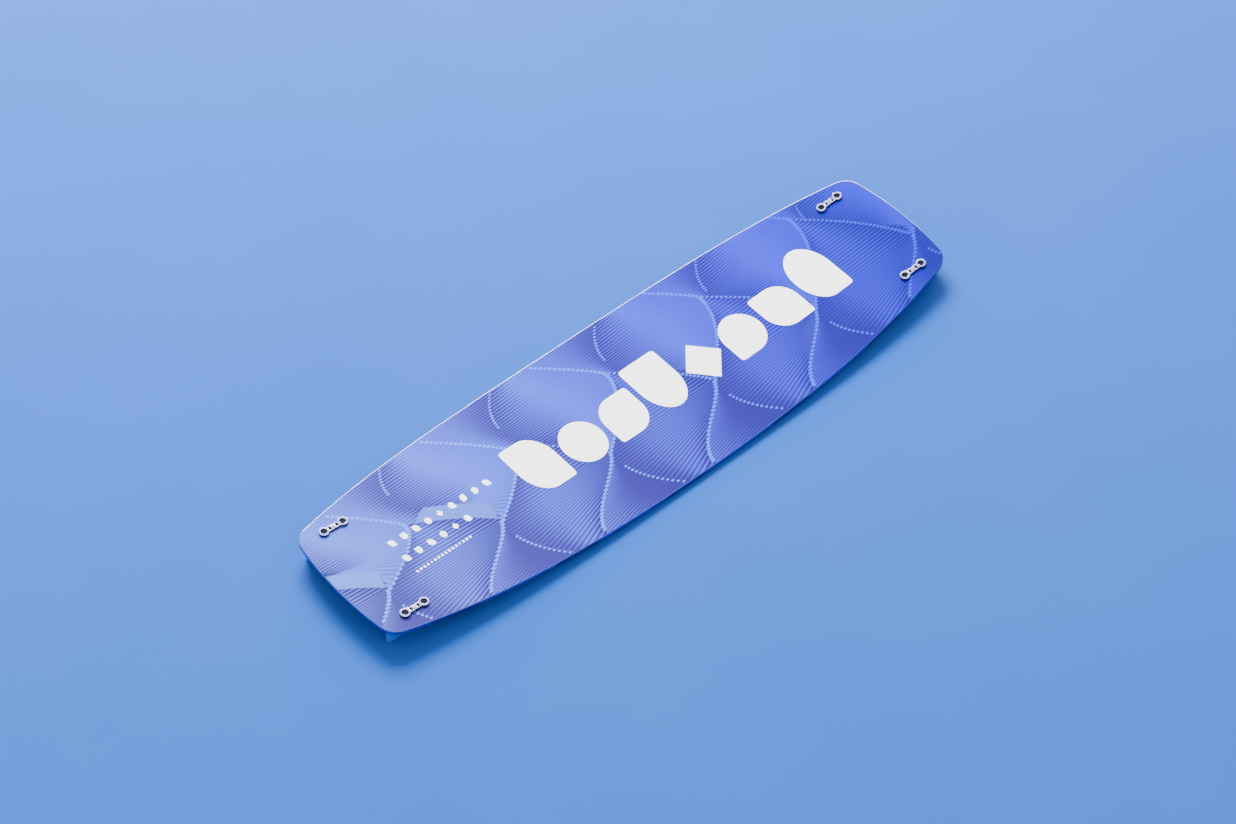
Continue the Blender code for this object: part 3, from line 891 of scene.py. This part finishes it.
def baseInk():
    # fine lines that sway along the board, inside a pale rim
    nodes = Nodes("baseInk")
    x, y, _ = nodes.split()
    sway = nodes.math("SINE", nodes.math("MULTIPLY", x, 2 * math.pi / fold["period"]))
    bend = nodes.math("MULTIPLY_ADD", sway, 0.030, y)
    phase = nodes.math("FRACT", nodes.math("DIVIDE", bend, 2 * fold["pitch"]))
    line = nodes.ease(nodes.math("ABSOLUTE", nodes.math("SUBTRACT", phase, 0.5)), 0.30, 0.5)
    deep, light = boardTint(nodes, "deep"), boardTint(nodes, "light")
    fill = nodes.mix(nodes.math("MULTIPLY", line, 0.55), deep, light)
    grain = nodes.ease(nodes.noise(90.0, 3.0), 0.3, 0.7)
    rim = nodes.mix(grain, (0.30, 0.34, 0.44), (0.40, 0.44, 0.54))
    _, v, _ = nodes.strokes()
    rolled = nodes.mix(nodes.ease(v, *edgeLook["rimMarks"]), edgeInk(nodes), rim)
    fill = nodes.mix(nodes.ease(v, *edgeLook["baseMarks"]), rolled, fill)
    return printGloss(nodes, fill, gloss["edgeCoat"])


rails = {
    "bulge": 0.00025,
    "rows": 7,
    "depth": (0.0116, 0.0118),  # at the top and at the bottom
}


def railPiece(name, first, last, ring, material):
    # the rail's section, bulged on its outer face, carried along its stretch of the edge
    low = board["edgeRound"] + board["edgeStep"] + board["seam"]
    high = board["thickness"] - low
    rise = np.linspace(0, 1, rails["rows"])
    section = [(rails["bulge"] * (1 - math.sin(math.pi * t)), low + (high - low) * t) for t in rise]
    section += [(rails["depth"][0], high), (rails["depth"][1], low)]
    rows = ring[np.arange(first, last + 1) % len(ring)]
    loops = []
    for inset, level in section:
        plan = rows[:, :2] - inset * rows[:, 2:]
        loops.append(np.column_stack([plan, hullHeight(plan[:, 0]) + level]))
    piece = gridPiece(name, np.array(loops), closedRows=True, merge=None)
    mend(piece.data, fill=True)
    return dress(sharpen(piece, 35), material, "abs_rail")


def makeRails():
    ring = edgeRing()
    material = railMaterial()
    quarter = len(ring) // 4
    end = board["cornerSteps"] + board["tipSteps"]
    runs = {
        "side_rail_heel": (-quarter + end, quarter - end),
        "tip_rail_right": (quarter - end, quarter + end),
        "side_rail_toe": (quarter + end, 3 * quarter - end),
        "tip_rail_left": (3 * quarter - end, 3 * quarter + end),
    }
    for name, (first, last) in runs.items():
        piece = railPiece("smooth_" + name, first, last, ring, material)
        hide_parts(name)


# White marks on the deck: plain tiles whose corners are round, square or cut

marks = {
    "ink": 0.00030,  # height of the ink over the deck
    "large": {"from": -0.269, "to": 0.510, "low": -0.057, "high": 0.045, "gap": 0.012, "rings": 12},
    "tall": {0: 0.026, 3: 0.034, 7: 0.036},  # which large tiles stand higher, and by how much
    # a superellipse's power in each quarter of each kind of tile
    "corners": [
        (2, 16, 2, 16), (2, 2, 2, 2), (16, 2, 16, 2), (16, 16, 2, 2),
        (1, 1, 1, 1), (2, 2, 16, 2), (2, 16, 2, 16), (2, 2, 2, 16),
    ],
    "small": {"from": -0.553, "tilt": 0.07, "rings": 4},
    # each small row's height on the deck, its climb, and its tiles' pitch, size and number
    "rows": [
        (0.024, 0.0078, 0.0277, (0.0118, 0.0158), 9),
        (-0.018, 0.0060, 0.0285, (0.0118, 0.0158), 6),
        (-0.0535, 0.0048, 0.0082, (0.0046, 0.0050), 16),
    ],
}


def tileRows(centre, size, corners, tilt, rings, steps=12):
    # rings of the outline, shrinking to the centre on top and again underneath
    powers = np.repeat(np.array(corners, float), steps)
    x, y = np.array(squarishTurn(4 * steps, powers, powers)) * np.array(size)[:, None] / 2
    shares = np.concatenate([np.linspace(0.002, 1, rings), [1.0], np.linspace(1, 0.002, rings)[1:]])
    px = centre[0] + shares[:, None] * (x * math.cos(tilt) - y * math.sin(tilt))
    py = centre[1] + shares[:, None] * (x * math.sin(tilt) + y * math.cos(tilt))
    lift = np.where(np.arange(len(shares)) < rings, marks["ink"], -fold["sunk"])
    return np.stack([px, py, deckHeight(px) + lift[:, None]], -1)


def joinedPiece(name, grids, sharp=40):
    # several grids as one piece, each given as points, closed rows and closed columns; the rise that the
    # materials read is the height over the deck, below which the washer's material paints shade
    points, faces, start = [], [], 0
    for grid, closedRows, closedColumns in grids:
        rows, columns = grid.shape[:2]
        faces.append(gridFaces(rows, columns, closedRows, closedColumns, start))
        points.append(grid.reshape(-1, 3))
        start += rows * columns
    points = np.concatenate(points)
    piece = putMesh(name, points, np.concatenate(faces))
    rise = (points[:, 2] - deckHeight(points[:, 0])).astype(np.float32)
    piece.data.attributes.new("rise", "FLOAT", "POINT").data.foreach_set("value", rise)
    mend(piece.data, fill=True)
    return sharpen(piece, sharp)


def makeMarks():
    # one row of large tiles, and small rows that take every third kind in turn
    ink, kinds = whiteInk(), marks["corners"]
    large, small = marks["large"], marks["small"]
    width = (large["to"] - large["from"] - (len(kinds) - 1) * large["gap"]) / len(kinds)
    grids = []
    for i, corners in enumerate(kinds):
        high = large["high"] + marks["tall"].get(i, 0.0)
        centre = (large["from"] + width / 2 + i * (width + large["gap"]), (large["low"] + high) / 2)
        size = (width, high - large["low"])
        grids.append((tileRows(centre, size, corners, 0.0, large["rings"]), False, True))
    dress(joinedPiece("white_tiles", grids), ink, "printed_deck")
    grids = []
    for y, climb, pitch, size, count in marks["rows"]:
        for i in range(count):
            centre = (small["from"] + size[0] / 2 + i * pitch, y + climb * i / (count - 1))
            corners = kinds[(i * 3) % len(kinds)]
            grids.append((tileRows(centre, size, corners, small["tilt"], small["rings"]), False, True))
    dress(joinedPiece("white_dashes", grids), ink, "printed_deck")


# Fin washers, screws and fins. A grid that is filled at its ends starts and stops close to its middle.

nearMiddle = 0.004
hardware = {
    "screwSpacing": 0.0419,
    "cupRadius": 0.0097,
    "cupHeight": 0.0056,
    "cupRounds": (0.0013, 0.0009),  # of the cup's outer and inner brim
    "recess": 0.0061,
    "floor": 0.0018,
    "play": 0.0003,  # between a shank and its hole
    "bridgeWidth": 0.0112,
    "bridgeHeight": 0.0046,
    # across a window's frame, as a share of its width and a drop below the bridge's top
    "frame": [(0.0, 0.0005), (0.10, 0.0001), (0.22, 0), (0.80, 0), (0.93, 0.0002), (1.0, 0.0008)],
    "frameFoot": 0.0002,
    "window": (0.0042, 0.0080),
    "windowSpacing": 0.0152,
    "pan": (0.0003, 0.0011),  # the plate under a window, from and to
    "panOverlap": 0.0004,
    "panel": (0.0094, 0.0078),
    "lid": [(0.90, 0.00025), (0.97, 0.00015), (1.0, -0.0004)],  # the panel's edge over the bridge
    "seatGap": 0.00008,
    "headRadius": 0.00425,
    "headHeight": 0.0022,
    "headGap": 0.0001,
    "socketFlat": 0.0020,
    "socketDepth": 0.0014,
    "shank": 0.0025,
    "reach": 0.0190,
    "sides": 48,
}
finSizes = {
    "length": 0.126,
    "sweep": 0.046,
    "thickness": 0.0095,
    "setback": 0.019,
    "powers": (14, 5),  # how square a section is along and across
    "sides": 56,
    "foot": [(0.0, 0.0012), (0.006, 0.0004), (0.03, 0.0)],  # shares of the height, and how far drawn in
    "upright": (0.08, 14),  # the share where the plain rows start, and their number
}


def ringRows(profile, sides, x):
    # a profile of radius and height turned round an upright axis at x
    turn = np.linspace(0, 2 * math.pi, sides, endpoint=False)
    radius, height = np.array(profile).T
    return raised(x + radius[:, None] * np.cos(turn), radius[:, None] * np.sin(turn), height)


def arcPoints(centre, radius, first, last, steps):
    turn = np.linspace(first, last, steps)
    return [(centre[0] + radius * math.cos(a), centre[1] + radius * math.sin(a)) for a in turn]


def boxRing(inner, outer, section, x=0.0, power=9, steps=14):
    # a frame: its section runs between an inner and an outer rounded rectangle, given by their half sizes
    turnX, turnY = squarishTurn(4 * steps, power, power, 1e-4)
    share, height = np.array(section).T
    acrossX = (inner[0] + (outer[0] - inner[0]) * share)[:, None] * turnX
    acrossY = (inner[1] + (outer[1] - inner[1]) * share)[:, None] * turnY
    return raised(x + acrossX, acrossY, height)


def washerGrids():
    # a turned cup over each screw, two window frames between them and a plain panel in the middle
    h = hardware
    radius, top, recess, hole = h["cupRadius"], h["cupHeight"], h["recess"], h["shank"] + h["play"]
    brim, lip = h["cupRounds"]
    cup = [(hole, 0.0), (radius - 0.0004, 0.0), (radius, 0.0005)]
    cup += arcPoints((radius - brim, top - brim), brim, 0.0, math.pi / 2, 8)
    cup += arcPoints((recess + lip, top - lip), lip, math.pi / 2, math.pi, 6)
    cup += [(recess - 0.0002, h["floor"] + 0.0005), (recess - 0.0007, h["floor"]), (hole, h["floor"])]
    high, foot = h["bridgeHeight"], h["frameFoot"]
    section = [(0.0, foot)] + [(share, high - drop) for share, drop in h["frame"]] + [(1.0, foot)]
    low, lid = h["pan"]
    pan = [(nearMiddle, lid), (1.0, lid), (1.0, low), (nearMiddle, low)]
    window = np.array(h["window"]) / 2
    outer = (h["windowSpacing"] / 2, h["bridgeWidth"] / 2)
    grids = [(ringRows(cup, h["sides"], side * h["screwSpacing"] / 2), True, True) for side in (-1, 1)]
    for x in (-h["windowSpacing"] / 2, h["windowSpacing"] / 2):
        grids.append((boxRing(window, outer, section, x), True, True))
        grids.append((boxRing((0, 0), window + h["panOverlap"], pan, x), False, True))
    panel = [(share, high + rise) for share, rise in h["lid"]]
    panel = [(nearMiddle, panel[0][1])] + panel + [(nearMiddle, panel[-1][1])]
    grids.append((boxRing((0, 0), np.array(h["panel"]) / 2, panel), False, True))
    return grids


def seatMatrix(node):
    # the deck under a washer, tilted with the rocker: y from the node's box, x from a fin block's
    low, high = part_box(node)
    blockLow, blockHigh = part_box("fin_block_right_toe")
    x = math.copysign((blockLow.x + blockHigh.x) / 2, low.x + high.x)
    slope = 8 * board["rockerRise"] * x / board["length"] ** 2
    place = (x, (low.y + high.y) / 2, deckHeight(x) + hardware["seatGap"])
    return Matrix.Translation(place) @ Matrix.Rotation(-math.atan(slope), 4, "Y")


def placedGrids(grids, matrix):
    turn, shift = np.array(matrix.to_3x3()), np.array(matrix.translation)
    return [(points @ turn.T + shift, *closed) for points, *closed in grids]


def screwGrids(x):
    # a turned screw at x whose socket is six-sided: the socket's rows use a hexagon's radius
    h = hardware
    turn = np.linspace(0, 2 * math.pi, h["sides"], endpoint=False)
    hexagon = 1 / np.cos((turn + math.pi / 6) % (math.pi / 3) - math.pi / 6)
    seat = h["floor"] + h["headGap"]
    top, tip, well = seat + h["headHeight"], seat - h["reach"], seat + h["headHeight"] - h["socketDepth"]
    flat, head, shank = h["socketFlat"], h["headRadius"], h["shank"]
    socket = [(0.02 * flat, well - 0.0003), (flat * 0.97, well), (flat, top - 0.0002), (flat + 0.0002, top)]
    turned = [(head - 0.0007, top), (head - 0.0002, top - 0.0002), (head, top - 0.0007), (head, seat)]
    turned += [(shank, seat), (shank, tip), (0.0004, tip - 0.0012)]
    radius, height = np.array(socket + turned).T
    isSocket = np.arange(len(radius)) < len(socket)
    reach = radius[:, None] * np.where(isSocket[:, None], hexagon, 1.0)
    return [(raised(reach * np.cos(turn) + x, reach * np.sin(turn), height), False, True)]


def finGrid(xSign, y):
    # sections from the floor up to the hull: each a rounded slab, its inner edge leaning out towards the
    # bottom, and closed by a small one at either end
    f = finSizes
    start, count = f["upright"]
    rows = [(0.0, 0.0)] + f["foot"] + [(t, 0.0) for t in np.linspace(start, 1, count)] + [(1.0, 0.0)]
    t, inset = np.array(rows).T
    size = np.ones_like(t)
    size[[0, -1]] = 0.02
    outer = board["length"] / 2 - f["setback"]
    low = outer - f["length"] + f["sweep"] * 2 / math.pi * np.arcsin(1 - t)
    middle, half = (low + outer) / 2, (outer - low) / 2
    turnX, turnY = squarishTurn(f["sides"], *f["powers"])
    x = middle[:, None] + (half * size - inset)[:, None] * turnX
    across = y + (f["thickness"] / 2 * size - inset)[:, None] * turnY
    z = t[:, None] * (hullHeight(x) - 0.0001)
    return [(np.stack([xSign * x, across, z], -1), False, True)]


def makeHardware():
    alloy, steel, resin = washerMaterial(), screwMaterial(), finMaterial()
    for end, xSign in (("left", -1), ("right", 1)):
        for edge in ("toe", "heel"):
            place = f"{end}_{edge}"
            seat = seatMatrix("fin_washer_" + place)
            washer = joinedPiece("washer_" + place, placedGrids(washerGrids(), seat), sharp=50)
            dress(washer, alloy, "washer_alloy")
            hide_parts("fin_washer_" + place)
            for side, sign in (("inner", -1), ("outer", 1)):
                shift = sign * xSign * hardware["screwSpacing"] / 2
                screw = joinedPiece(f"screw_{place}_{side}", placedGrids(screwGrids(shift), seat), sharp=35)
                dress(screw, steel, "screw_steel")
                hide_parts(f"fin_screw_{place}_{side}")
            low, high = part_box("fin_" + place)
            fin = joinedPiece("blade_" + place, finGrid(xSign, (low.y + high.y) / 2), sharp=40)
            dress(fin, resin, "clear_blue_fin")
            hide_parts("fin_" + place)


def washerMaterial():
    # blasted alloy, with painted shade turning it near black below the brims: in the cups' recesses, the
    # windows and the outer sides
    nodes = Nodes("washerAlloy")
    blast = nodes.noise(2600.0, 2.0)
    wear = nodes.noise(420.0, 4.0)
    fill = nodes.mix(nodes.ease(wear, 0.3, 0.7), (0.66, 0.63, 0.90), (0.50, 0.48, 0.78))
    rise = nodes.add("ShaderNodeAttribute", attribute_name="rise").outputs["Fac"]
    # painted shade: everything lower than the brims' tops goes near black navy, standing in for the shade in
    # the recesses and on the sides
    fill = nodes.mix(nodes.ease(rise, 0.0040, 0.0045), (0.012, 0.008, 0.060), fill)
    nodes.bump(blast, 0.15, 0.0001)
    roughness = nodes.ease(wear, 0.3, 0.7, 0.24, 0.36)
    return nodes.finish(Base_Color=fill, Metallic=1.0, Roughness=roughness)


def screwMaterial():
    # dark steel with turning marks
    nodes = Nodes("screwSteel")
    turning = nodes.noise(900.0, 3.0, stretch=(1.0, 1.0, 9.0))
    fill = nodes.mix(nodes.ease(turning, 0.3, 0.7), (0.060, 0.056, 0.110), (0.032, 0.030, 0.070))
    nodes.bump(turning, 0.1, 0.0001)
    return nodes.finish(Base_Color=fill, Metallic=1.0, Roughness=nodes.ease(turning, 0.3, 0.7, 0.22, 0.40))


def finMaterial():
    # clear blue resin with a faint cross of glass strands in it
    nodes = Nodes("finResin")
    x, _, z = nodes.split()
    strands = nodes.ease(nodes.math("MAXIMUM", *nodes.crossed(x, z, 2600.0)), 0.2, 1.0)
    cloud = nodes.ease(nodes.noise(60.0, 3.0), 0.3, 0.7, 0.0, 0.5)
    fill = nodes.mix(nodes.math("MULTIPLY", strands, 0.25), (0.020, 0.170, 0.70), (0.050, 0.260, 0.80))
    fill = nodes.mix(cloud, fill, (0.008, 0.110, 0.58))
    nodes.bump(strands, 0.08, 0.0001)
    return nodes.finish(Base_Color=fill, Roughness=0.16, Transmission_Weight=0.2, IOR=1.52, Coat_Weight=0.3)


# The pieces inside, which keep their CAD shape


def grainMaterial(name, first, second, stretch, scale, roughness, metallic=0.0):
    # two tones along stretched noise, with a slight relief
    nodes = Nodes(name)
    grain = nodes.noise(scale, 4.0, 0.6, stretch)
    fill = nodes.mix(nodes.ease(grain, 0.3, 0.7), first, second)
    nodes.bump(grain, 0.2, 0.0003)
    return nodes.finish(
        Base_Color=fill,
        Roughness=nodes.ease(grain, 0.3, 0.7, roughness - 0.06, roughness + 0.06),
        Metallic=metallic,
    )


def glassCloth():
    # a plain weave: light and dark where two sets of waves cross
    nodes = Nodes("glassCloth")
    x, y, _ = nodes.split()
    weave = nodes.ease(nodes.math("MULTIPLY", *nodes.crossed(x, y, 1800.0)), -1.0, 1.0)
    fill = nodes.mix(weave, (0.22, 0.30, 0.42), (0.42, 0.52, 0.62))
    nodes.bump(weave, 0.2, 0.0002)
    return nodes.finish(Base_Color=fill, Roughness=0.35)


laminates = {
    # from and to, over the underside
    "top_laminate": (0.0071, 0.0079),
    "bottom_laminate": (0.0011, 0.0019),
    "inset": 0.0024,
}


def makeLaminates():
    # plain plates a little inside the edge
    cloth, inset = glassCloth(), laminates["inset"]
    for name in ("top_laminate", "bottom_laminate"):
        low, high = laminates[name]
        plate = shellPiece("cloth_" + name, [(inset, high), (inset, (low + high) / 2), (inset, low)])
        dress(sharpen(plate, 40), cloth, "glass_laminate")
        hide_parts(name)


def dressInside():
    finishes = {
        "wood_core": grainMaterial(
            "paulownia", (0.66, 0.50, 0.30), (0.52, 0.37, 0.20), (1.0, 14.0, 14.0), 12.0, 0.62
        ),
        "insert": grainMaterial(
            "brass", (0.74, 0.54, 0.22), (0.60, 0.42, 0.16), (1.0, 1.0, 8.0), 500.0, 0.34, 1.0
        ),
        "block": grainMaterial(
            "hardBlock", (0.13, 0.14, 0.17), (0.20, 0.21, 0.24), (1.0, 1.0, 1.0), 300.0, 0.55
        ),
    }
    for name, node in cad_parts.items():
        for word, finish in finishes.items():
            if word in name:
                node.data.materials.clear()
                node.data.materials.append(finish)


# Camera, floor and light

studio = {
    "yaw": 0.70782,  # of the camera's heading from +Y
    "elevation": 0.8843,
    "roll": -0.00413,
    "distance": 5.61932,
    "aimHeight": 0.00714,
    "aimRight": -0.02818,
    "aimUp": -0.0094,
    "lens": 87.99,
    "worldColor": (0.92, 0.96, 1.0),
    "worldStrength": 1.50,
    "floorHalf": 8,
    "floorTones": ((0.010, 0.074, 0.350), (0.011, 0.077, 0.360)),
    "floorRoughness": 0.85,
    "floorSpecular": 0.15,
}
lights = {
    # each light's place, what it points at, its size, power and colour, and whether it is only mirrored
    "windowLight": ((1.7, 3.7, 4.1), (-0.2, 0.3, 0), (3.2, 2.6), 1720, (1.0, 0.99, 0.97), False),
    "backGlow": ((2.9, 4.3, 1.45), (0.0, 0.1, 0), (7.0, 1.2), 1300, (0.97, 0.98, 1.0), True),
}


def addCamera():
    yaw, elevation, roll = studio["yaw"], studio["elevation"], studio["roll"]
    level, drop = math.cos(elevation), math.sin(elevation)
    forward = Vector((math.sin(yaw) * level, math.cos(yaw) * level, -drop))
    side = Vector((math.cos(yaw), -math.sin(yaw), 0.0))
    up = side.cross(forward)
    right = math.cos(roll) * side + math.sin(roll) * up
    top = math.cos(roll) * up - math.sin(roll) * side
    place = Vector((0, 0, studio["aimHeight"])) + studio["aimRight"] * right + studio["aimUp"] * top
    place -= studio["distance"] * forward
    data = bpy.data.cameras.new("camera")
    data.lens = studio["lens"]
    data.sensor_width = 36.0
    data.clip_end = 60.0
    camera = bpy.data.objects.new("camera", data)
    camera.matrix_world = Matrix.Translation(place) @ Matrix((right, top, -forward)).transposed().to_4x4()
    bpy.context.scene.collection.objects.link(camera)
    bpy.context.scene.camera = camera


def addLight(name, place, aim, size, energy, color, mirrored):
    data = bpy.data.lights.new(name, "AREA")
    data.shape = "RECTANGLE"
    data.size, data.size_y = size
    data.energy = energy
    data.color = color
    light = bpy.data.objects.new(name, data)
    direction = Vector(aim) - Vector(place)
    light.visible_glossy = mirrored
    light.visible_diffuse = not mirrored
    light.matrix_world = Matrix.Translation(place) @ direction.to_track_quat("-Z", "Y").to_matrix().to_4x4()
    bpy.context.scene.collection.objects.link(light)


def addStudio():
    nodes = Nodes("studioFloor")
    speck = nodes.noise(3.0, 4.0)
    fill = nodes.mix(nodes.ease(speck, 0.3, 0.7), *studio["floorTones"])
    material = nodes.finish(
        Base_Color=fill,
        Roughness=studio["floorRoughness"],
        Specular_IOR_Level=studio["floorSpecular"],
    )
    span = np.linspace(-studio["floorHalf"], studio["floorHalf"], 9)
    x, y = np.meshgrid(span, span, indexing="ij")
    floor = gridPiece("floor", np.stack([x, y, 0 * x], -1), merge=None)
    floor.data.materials.append(material)
    world = bpy.data.worlds.new("studio")
    world.use_nodes = True
    back = world.node_tree.nodes["Background"]
    back.inputs[0].default_value = (*studio["worldColor"], 1.0)
    back.inputs[1].default_value = studio["worldStrength"]
    bpy.context.scene.world = world
    for name, light in lights.items():
        addLight(name, *light)


makeSkins()
makeRails()
print("skins and rails made")
makePrint()
makeMarks()
print("print and marks made")
makeLaminates()
makeHardware()
dressInside()
print("hardware made")
addStudio()
addCamera()
print("studio made")
